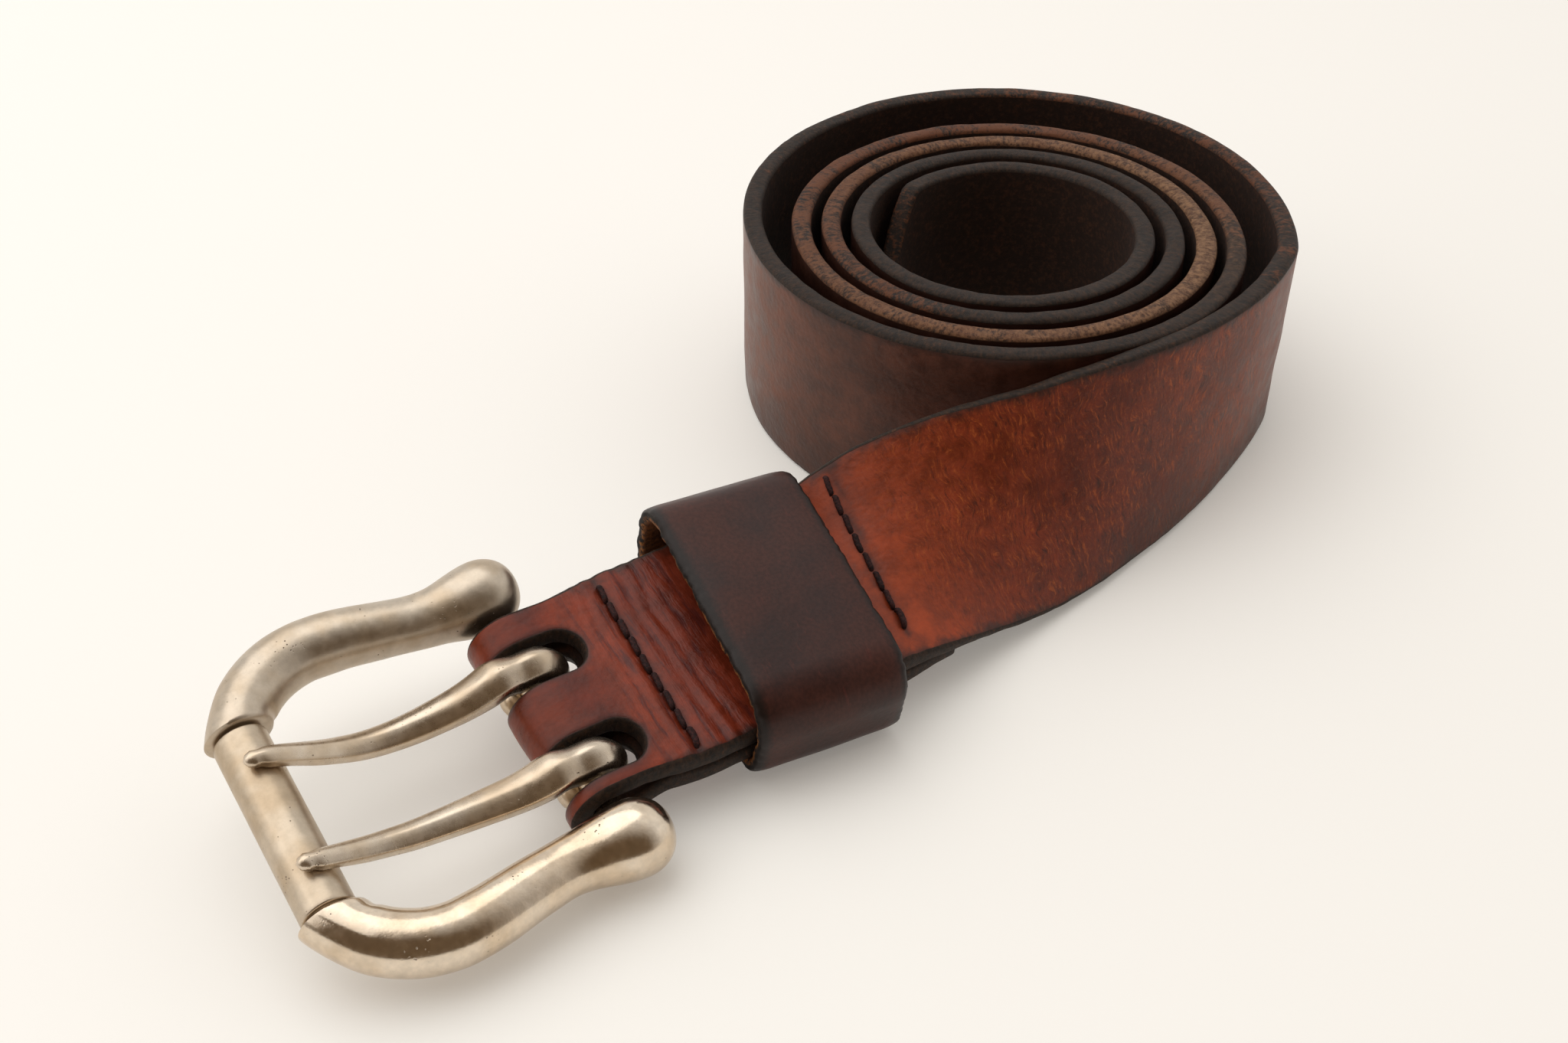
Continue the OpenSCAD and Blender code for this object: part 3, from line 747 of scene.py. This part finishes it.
# ------ materials
class Shader:
    """A node material with short ways to make its nodes. Lengths in it are in mm along and across the piece."""

    def __init__(self, name):
        self.mat = bpy.data.materials.new(name)
        self.mat.use_nodes = True
        self.tree = self.mat.node_tree
        self.bsdf = self.tree.nodes["Principled BSDF"]

    def put(self, socket, value):
        if isinstance(value, bpy.types.NodeSocket):
            self.tree.links.new(value, socket)
        elif value is not None:
            socket.default_value = (*value, 1) if isinstance(value, tuple) and socket.type == "RGBA" else value

    def node(self, kind, *values, **props):
        n = self.tree.nodes.new(kind)
        for key, value in props.items():
            setattr(n, key, value)
        for socket, value in zip(n.inputs, values):
            self.put(socket, value)
        return n

    def math(self, op, a, b=None, c=None):
        return self.node("ShaderNodeMath", a, b, c, operation=op).outputs[0]

    def add(self, a, b):
        return self.math("ADD", a, b)

    def less(self, a, b):
        return self.math("SUBTRACT", a, b)

    def mul(self, a, b):
        return self.math("MULTIPLY", a, b)

    def ramp(self, v, lo, hi, a=0.0, b=1.0):
        return self.node("ShaderNodeMapRange", v, lo, hi, a, b, interpolation_type="SMOOTHSTEP").outputs[0]

    def split(self, name):
        v = self.node("ShaderNodeAttribute", attribute_name=name).outputs["Vector"]
        return self.node("ShaderNodeSeparateXYZ", v).outputs[:3]

    def join(self, x, y, z=0.0):
        return self.node("ShaderNodeCombineXYZ", x, y, z).outputs[0]

    def noise(self, v, scale, detail=3.0, rough=0.55, distort=0.0):
        n = self.node("ShaderNodeTexNoise")
        for key, value in (("Vector", v), ("Scale", scale), ("Detail", detail), ("Roughness", rough),
                           ("Distortion", distort)):
            self.put(n.inputs[key], value)
        return n.outputs["Fac"]

    def cells(self, v, scale, feature="F1"):
        n = self.node("ShaderNodeTexVoronoi", feature=feature)
        self.put(n.inputs["Vector"], v)
        self.put(n.inputs["Scale"], scale)
        return n.outputs["Distance"]

    def blend(self, fac, a, b):
        n = self.node("ShaderNodeMix", data_type="RGBA")
        for key, value in (("Factor_Float", fac), ("A_Color", a), ("B_Color", b)):
            self.put(next(s for s in n.inputs if s.identifier == key), value)
        return next(s for s in n.outputs if s.identifier == "Result_Color")

    def scale(self, colour, fac):
        """Darkens or lightens a colour by a factor."""
        n = self.node("ShaderNodeVectorMath", colour, operation="SCALE")
        self.put(n.inputs["Scale"], fac)
        return n.outputs[0]

    def stops(self, v, lo, hi, table):
        """A colour that changes with v, from a list of (value, colour)."""
        n = self.node("ShaderNodeValToRGB", self.node("ShaderNodeMapRange", v, lo, hi).outputs[0])
        el = n.color_ramp.elements
        for i, (at, colour) in enumerate(table):
            e = el[i] if i < 2 else el.new(1.0)
            e.position, e.color = (at - lo) / (hi - lo), (*colour, 1)
        return n.outputs["Color"]

    def bump(self, height, depth, strength):
        n = self.node("ShaderNodeBump")
        for key, value in (("Height", height), ("Distance", depth * 0.001), ("Strength", strength)):
            self.put(n.inputs[key], value)
        return n.outputs[0]

    def finish(self, **values):
        for key, value in values.items():
            self.put(self.bsdf.inputs[key.replace("_", " ")], value)
        return self.mat


def strap_material():
    g = Shader("cognac_leather")
    s, w, side = g.split("belt")
    rust, tan, halo = g.split("tone")
    p = g.add(s, -s_up(0))
    flat = g.join(s, w)
    skin = g.join(s, w, g.mul(side, HALF_T))
    cloud = g.noise(flat, 0.06, 3)
    blotch = g.noise(flat, 0.26, 4, 0.6)
    fine = g.noise(flat, 1.7, 3)
    # dye along the belt, by the distance from the heel bar
    shifted = g.add(p, g.mul(g.add(cloud, -0.5), 22))
    dye = g.stops(shifted, -80, 470, [
        (-80, (0.09, 0.024, 0.011)), (-16, (0.15, 0.028, 0.009)), (-6, (0.20, 0.030, 0.008)),
        (3, (0.120, 0.018, 0.008)), (11, (0.205, 0.029, 0.008)), (20, (0.190, 0.027, 0.010)),
        (33, (0.160, 0.026, 0.011)), (50, (0.275, 0.043, 0.011)), (61, (0.280, 0.043, 0.010)),
        (80, (0.200, 0.028, 0.007)), (104, (0.130, 0.019, 0.006)), (135, (0.150, 0.028, 0.009)),
        (170, (0.145, 0.037, 0.015)), (230, (0.07, 0.020, 0.010)), (300, (0.105, 0.034, 0.016)),
        (345, (0.125, 0.039, 0.018)), (405, (0.072, 0.022, 0.012)), (470, (0.038, 0.013, 0.008))])
    dye = g.scale(dye, g.add(g.ramp(blotch, 0.3, 0.7, 0.72, 1.22), g.mul(g.add(fine, -0.5), 0.35)))
    dye = g.scale(dye, g.ramp(cloud, 0.35, 0.65, 0.82, 1.15))
    # short light fibres where the leather has been bent, mostly across it
    worn = g.mul(g.ramp(p, 58, 78), g.ramp(p, 185, 140))
    worn = g.mul(worn, g.ramp(cloud, 0.34, 0.54, 0.45, 1.0))
    warp = g.mul(g.add(g.noise(flat, 0.13, 2), -0.5), 9)
    hairs = g.noise(g.join(g.add(g.mul(p, 1.5), warp), g.mul(w, 0.3)), 1.0, 7, 0.78)
    hair = g.ramp(hairs, 0.53, 0.63)
    fuzz = g.ramp(g.noise(g.join(g.add(p, warp), g.mul(w, 0.6)), 2.6, 7, 0.85, 0.8), 0.53, 0.66)
    fibre = g.mul(worn, g.add(g.mul(hair, 0.5), g.mul(fuzz, 0.6)))
    dye = g.blend(g.math("MINIMUM", g.mul(fibre, 1.3), 0.9), dye, (0.44, 0.100, 0.018))
    dark_veins = g.mul(worn, g.ramp(hairs, 0.48, 0.37))
    dye = g.blend(g.mul(dark_veins, 0.85), dye, (0.045, 0.010, 0.005))
    # creases beside the front row, with painted shade darkening the crease lines
    crease_zone = g.mul(g.ramp(p, 6, 12), g.ramp(p, 34, 26))
    lines = g.noise(g.join(g.add(g.mul(p, 0.8), g.mul(warp, 0.12)), g.mul(w, 0.1)), 1.0, 5, 0.6)
    dye = g.blend(g.mul(crease_zone, g.ramp(lines, 0.5, 0.36, 0, 0.75)), dye, (0.07, 0.014, 0.013))
    # the edges of the face are burnished dark; on the lower side of the twist, near the table, a wider band of
    # painted shade in the same dark colour
    inward = g.less(HALF_W, g.math("ABSOLUTE", w))
    edge_dark = g.ramp(g.add(inward, g.mul(g.add(blotch, -0.5), 4)), 0.2, 2.6, 0.85, 0)
    low_side_shade = g.mul(g.ramp(g.add(w, g.mul(g.add(cloud, -0.5), 10)), -6, -19), g.ramp(p, 76, 120, 0, 0.62))
    dye = g.blend(g.math("MAXIMUM", edge_dark, low_side_shade), dye, (0.030, 0.0125, 0.009))
    dye = g.blend(halo, dye, (0.022, 0.009, 0.008))  # burnished round the slots and stitches
    # flesh side
    nap = g.noise(skin, 0.9, 6, 0.75)
    flesh = g.blend(g.ramp(nap, 0.45, 0.75), (0.022, 0.0105, 0.007), (0.060, 0.024, 0.012))
    scuff = g.mul(g.ramp(g.noise(flat, 0.16, 6, 0.7), 0.5, 0.68), g.ramp(p, 1180, 1290, 0.25, 1.0))
    flesh = g.blend(g.mul(scuff, g.ramp(nap, 0.4, 0.62)), flesh, (0.13, 0.042, 0.016))
    # cut edges
    grit = g.noise(g.join(s, g.mul(side, 2.0), w), 1.4, 6, 0.75)
    patch = g.noise(flat, 0.2, 3)
    rim = g.blend(g.ramp(grit, 0.35, 0.7), (0.009, 0.0055, 0.004), (0.046, 0.022, 0.011))
    spots = g.ramp(g.add(g.add(grit, g.mul(rust, 0.34)), g.mul(g.add(patch, -0.5), 0.5)), 0.66, 0.86)
    rim = g.blend(spots, rim, (0.125, 0.040, 0.014))
    pale = g.blend(g.ramp(grit, 0.38, 0.66), (0.090, 0.038, 0.018), (0.27, 0.145, 0.072))
    worn_pale = g.mul(tan, g.ramp(g.add(grit, g.mul(patch, 0.5)), 0.45, 0.8, 0.35, 1.1))
    rim = g.blend(g.math("MINIMUM", worn_pale, 1.0), rim, pale)
    bleed = g.mul(g.add(blotch, -0.5), 0.35)
    is_grain = g.ramp(g.add(side, bleed), 0.5, 0.8)
    is_flesh = g.ramp(g.add(side, bleed), -0.55, -0.85)
    colour = g.blend(is_flesh, g.blend(is_grain, rim, dye), flesh)
    # relief: fine grain and pores, creases, nap and grit
    grain = g.add(g.mul(g.cells(flat, 1.15, "SMOOTH_F1"), 0.5), g.mul(g.noise(flat, 0.8, 6, 0.6), 0.9))
    grain = g.add(grain, g.mul(g.mul(crease_zone, lines), 2.4))
    grain = g.add(grain, g.mul(g.mul(worn, hairs), 1.1))
    height = g.blend(is_flesh, g.blend(is_grain, g.join(g.mul(grit, 3.0), 0, 0), g.join(grain, 0, 0)),
                     g.join(g.mul(nap, 2.4), 0, 0))
    height = g.node("ShaderNodeSeparateXYZ", height).outputs[0]
    rough = g.add(g.ramp(blotch, 0.3, 0.7, 0.34, 0.46), g.mul(fibre, 0.16))
    rough = g.add(rough, g.ramp(p, 30, 50, -0.07, 0.0))
    dull = g.ramp(is_flesh, 0, 1, 0.62, 0.92)
    rough = g.add(g.mul(is_grain, rough), g.mul(g.less(1.0, is_grain), dull))
    return g.finish(Specular_IOR_Level=0.27, Base_Color=colour, Roughness=rough, Normal=g.bump(height, 0.11, 0.75))


def keeper_material():
    g = Shader("dark_keeper_leather")
    t, u, side = g.split("belt")
    flat = g.join(t, u)
    cloud, fine = g.noise(flat, 0.07, 3), g.noise(flat, 1.5, 4)
    dye = g.blend(g.ramp(cloud, 0.32, 0.68), (0.0260, 0.0085, 0.0065), (0.054, 0.0155, 0.0100))
    streak = g.ramp(g.noise(g.join(g.mul(t, 0.16), g.mul(u, 0.9)), 1.0, 6, 0.7, 0.4), 0.58, 0.75)
    dye = g.blend(g.mul(streak, 0.45), dye, (0.105, 0.021, 0.014))
    dye = g.scale(dye, g.ramp(fine, 0.3, 0.7, 0.8, 1.2))
    inward = g.less(KEEPER_L / 2, g.math("ABSOLUTE", u))
    black = g.ramp(g.add(inward, g.mul(g.add(fine, -0.5), 0.8)), 0.5, 2.2, 0.9, 0)
    dye = g.blend(black, dye, (0.0085, 0.0052, 0.0042))
    nap = g.noise(g.join(t, u, g.mul(side, KEEPER_T / 2)), 1.3, 6, 0.75)
    flesh = g.blend(g.ramp(nap, 0.35, 0.7), (0.085, 0.030, 0.011), (0.30, 0.105, 0.028))
    rim = g.blend(g.ramp(nap, 0.4, 0.7), (0.0085, 0.007, 0.0065), (0.026, 0.017, 0.013))
    fray = g.mul(g.ramp(side, 0.1, -0.7), g.ramp(g.add(nap, g.mul(g.noise(flat, 0.24, 3), 0.5)), 0.66, 0.84))
    rim = g.blend(fray, rim, (0.34, 0.125, 0.030))
    is_flesh = g.ramp(side, -0.75, -0.97)
    is_grain = g.ramp(side, 0.3, 0.8)
    colour = g.blend(is_flesh, g.blend(is_grain, rim, dye), flesh)
    grain = g.add(g.mul(g.noise(flat, 0.7, 6, 0.55), 0.7), g.mul(g.cells(flat, 1.3, "SMOOTH_F1"), 0.25))
    height = g.add(g.mul(is_grain, grain), g.mul(g.less(1.0, is_grain), g.mul(nap, 2.5)))
    rough = g.add(g.ramp(cloud, 0.3, 0.7, 0.33, 0.43), g.mul(g.less(1.0, is_grain), 0.4))
    return g.finish(Specular_IOR_Level=0.25, Base_Color=colour, Roughness=rough, Normal=g.bump(height, 0.09, 0.6))


def thread_material():
    g = Shader("waxed_thread")
    i = g.split("belt")[0]  # the stitch's number
    place = g.node("ShaderNodeTexCoord").outputs["Object"]
    fuzz = g.noise(place, 2600, 4, 0.7)
    each = g.node("ShaderNodeTexWhiteNoise", g.join(i, 0.0), noise_dimensions="3D").outputs["Value"]
    colour = g.blend(g.ramp(fuzz, 0.35, 0.7), (0.010, 0.0045, 0.005), (0.055, 0.014, 0.012))
    colour = g.scale(colour, g.ramp(each, 0, 1, 0.75, 1.25))
    return g.finish(Specular_IOR_Level=0.25, Base_Color=colour, Roughness=0.75, Normal=g.bump(fuzz, 0.12, 0.8))


def metal_material(name, polish, tint=(0.66, 0.565, 0.455), two_arms=False):
    """Worn nickel of roughness polish. With two_arms, the near arm is rubbed smoother than the far one, and its
    colour is painted lighter and the far arm's darker, as painted light and shade.
    """
    g = Shader(name)
    place = g.node("ShaderNodeTexCoord").outputs["Object"]
    cloud = g.noise(place, 130, 3)
    haze = g.noise(place, 620, 5, 0.65)
    grit = g.noise(place, 3200, 3, 0.6)
    shine = polish
    colour = g.blend(g.ramp(cloud, 0.35, 0.68), tint, tuple(x * y for x, y in zip(tint, (0.88, 0.82, 0.74))))
    colour = g.scale(colour, g.ramp(haze, 0.25, 0.75, 0.86, 1.06))
    if two_arms:
        hand = g.split("belt")[2]  # -1 on the near arm, 1 on the far one
        shine = g.ramp(hand, -0.9, 0.9, 0.17, polish)
        # painted light and shade: the near arm's colour is made lighter, the far arm's darker
        colour = g.scale(colour, g.ramp(hand, -0.9, 0.9, 1.12, 0.84))
    # small pits, in patches
    pits = g.mul(g.ramp(g.cells(place, 1500), 0.24, 0.10), g.ramp(g.noise(place, 210, 4, 0.6), 0.56, 0.66))
    colour = g.blend(g.mul(pits, 0.8), colour, (0.075, 0.055, 0.045))
    rough = g.add(shine, g.add(g.mul(g.add(haze, -0.5), 0.20), g.mul(g.add(cloud, -0.5), 0.16)))
    rough = g.add(rough, g.mul(pits, 0.3))
    height = g.add(g.add(g.mul(haze, 0.55), g.mul(grit, 0.16)), g.mul(pits, -1.3))
    return g.finish(Base_Color=colour, Metallic=1.0, Roughness=rough, Normal=g.bump(height, 0.05, 0.8))


def wire_material():
    g = Shader("staple_wire")
    place = g.node("ShaderNodeTexCoord").outputs["Object"]
    haze = g.noise(place, 900, 4)
    colour = g.blend(g.ramp(haze, 0.35, 0.7), (0.42, 0.40, 0.37), (0.62, 0.60, 0.57))
    return g.finish(Base_Color=colour, Metallic=1.0, Roughness=g.ramp(haze, 0.3, 0.7, 0.25, 0.42),
                    Normal=g.bump(haze, 0.03, 0.5))


def set_tone(obj):
    """Marks where the strap's cut edge is rusty or pale, and where its face is burnished round the slots."""
    belt = obj.data.attributes["belt"].data
    v = np.zeros(len(belt) * 3, np.float32)
    belt.foreach_get("vector", v)
    s, w, side = v.reshape(-1, 3).T.astype(float)
    f = np.interp(s, MARKS["roll"][1], MARKS["roll"][0])  # turns into the roll
    p = s - s_up(0)
    rust = 0.15 + 0.6 * bump(f - 0.15, 0.2) * (p > 150) + 0.75 * ease((f - 0.98) / 0.1) * (1 - ease((f - 2.6) / 0.2))
    tan = sum(much * bump(f - at, wide) for much, at, wide in
              ((0.95, 2.02, 0.22), (0.4, 2.35, 0.16), (0.3, 1.7, 0.14), (0.25, 1.1, 0.12)))
    tip = ease((s - S_END + 15) / 1.5)
    rust, tan = rust + 0.4 * tip, tan * (1 - tip)
    q = np.stack([s, w], -1)
    halo = np.zeros_like(s)
    for slot in slot_shapes():
        halo = np.maximum(halo, 0.95 * bump(np.clip(slot_distance(q, *slot), 0, None), 0.75))
    for row in (ROW_FRONT, ROW_BACK):
        d = p - row_line(row, w)
        on = (w > row[2] - 1.5) & (w < row[3] + 1.5)
        halo = np.maximum(halo, 0.75 * bump(d, 0.7) * on)
    store(obj.data, "tone", np.stack([rust, tan, halo], -1))


set_tone(STRAP)
for names, made in ((("strap_leather",), strap_material()), (("keeper_leather",), keeper_material()),
                    (("thread_front", "thread_back"), thread_material()), (("keeper_staple_wires",), wire_material()),
                    (("buckle_body",), metal_material("worn_nickel_frame", 0.35, two_arms=True)),
                    (("roller_tube",), metal_material("worn_nickel_roller", 0.36, (0.55, 0.46, 0.355))),
                    (("prong_far_blade", "prong_near_blade"), metal_material("worn_nickel_prongs", 0.28))):
    for piece in names:
        bpy.data.objects[piece].data.materials.append(made)

# ------ floor, light and camera
floor = bpy.data.meshes.new("floor")
floor.from_pydata([(6 * x, 6 * y, 0) for x, y in ((-1, -1), (1, -1), (1, 1), (-1, 1))], [], [(0, 1, 2, 3)])
floor_obj = bpy.data.objects.new("floor", floor)
bpy.context.scene.collection.objects.link(floor_obj)
paper = Shader("floor_paper")
floor.materials.append(paper.finish(Base_Color=(0.84, 0.825, 0.795), Emission_Color=(1, 0.965, 0.90),
                                    Emission_Strength=0.18, Roughness=0.8))

world = bpy.data.worlds.new("studio")
world.use_nodes = True
wt = world.node_tree
coord = wt.nodes.new("ShaderNodeTexCoord")
toward = wt.nodes.new("ShaderNodeVectorMath")
toward.operation = "DOT_PRODUCT"
toward.inputs[1].default_value = (-0.52, -0.80, 0.30)  # the side the picture is taken from is darker
wt.links.new(coord.outputs["Generated"], toward.inputs[0])
sky = wt.nodes.new("ShaderNodeValToRGB")
for stop, at, colour in zip(sky.color_ramp.elements, (0.1, 0.7), ((0.92, 0.90, 0.87, 1), (0.15, 0.105, 0.065, 1))):
    stop.position, stop.color = at, colour
wt.links.new(toward.outputs["Value"], sky.inputs["Fac"])
wt.links.new(sky.outputs["Color"], wt.nodes["Background"].inputs["Color"])
bpy.context.scene.world = world


def area_light(name, place, size, power):
    """A soft box that shines on the middle of the floor."""
    data = bpy.data.lights.new(name, "AREA")
    data.shape, data.size, data.size_y = "RECTANGLE", size[0], size[1]
    data.energy, data.color = power, (1, 0.98, 0.95)
    obj = bpy.data.objects.new(name, data)
    obj.location = place
    obj.rotation_euler = (-Vector(place)).to_track_quat("-Z", "Y").to_euler()
    bpy.context.scene.collection.objects.link(obj)


area_light("softbox_top", (-0.25, 0.35, 0.95), (1.5, 1.1), 5.2)
area_light("softbox_left", (-1.0, 0.15, 0.55), (0.8, 0.7), 1.4)

# The camera as worked out from the photo: the place it looks at, its direction, and its distance in metres
aim = Vector((float(BASE[0]) + 63.45, float(BASE[1]) + 33.22, 0)) * 0.001
yaw, tilt, away = math.radians(33.3), math.radians(38.6), 0.337
cam_data = bpy.data.cameras.new("camera")
FOCAL_PIXELS, IMAGE_PIXELS, SENSOR = 2400, 2048, 36
cam_data.lens, cam_data.sensor_width = FOCAL_PIXELS / IMAGE_PIXELS * SENSOR, SENSOR
cam = bpy.data.objects.new("camera", cam_data)
look = Vector((math.sin(yaw) * math.cos(tilt), math.cos(yaw) * math.cos(tilt), -math.sin(tilt)))
cam.location = aim - look * away
cam.rotation_euler = look.to_track_quat("-Z", "Y").to_euler()
bpy.context.scene.collection.objects.link(cam)
bpy.context.scene.camera = cam
bpy.context.scene.view_settings.view_transform = "Standard"
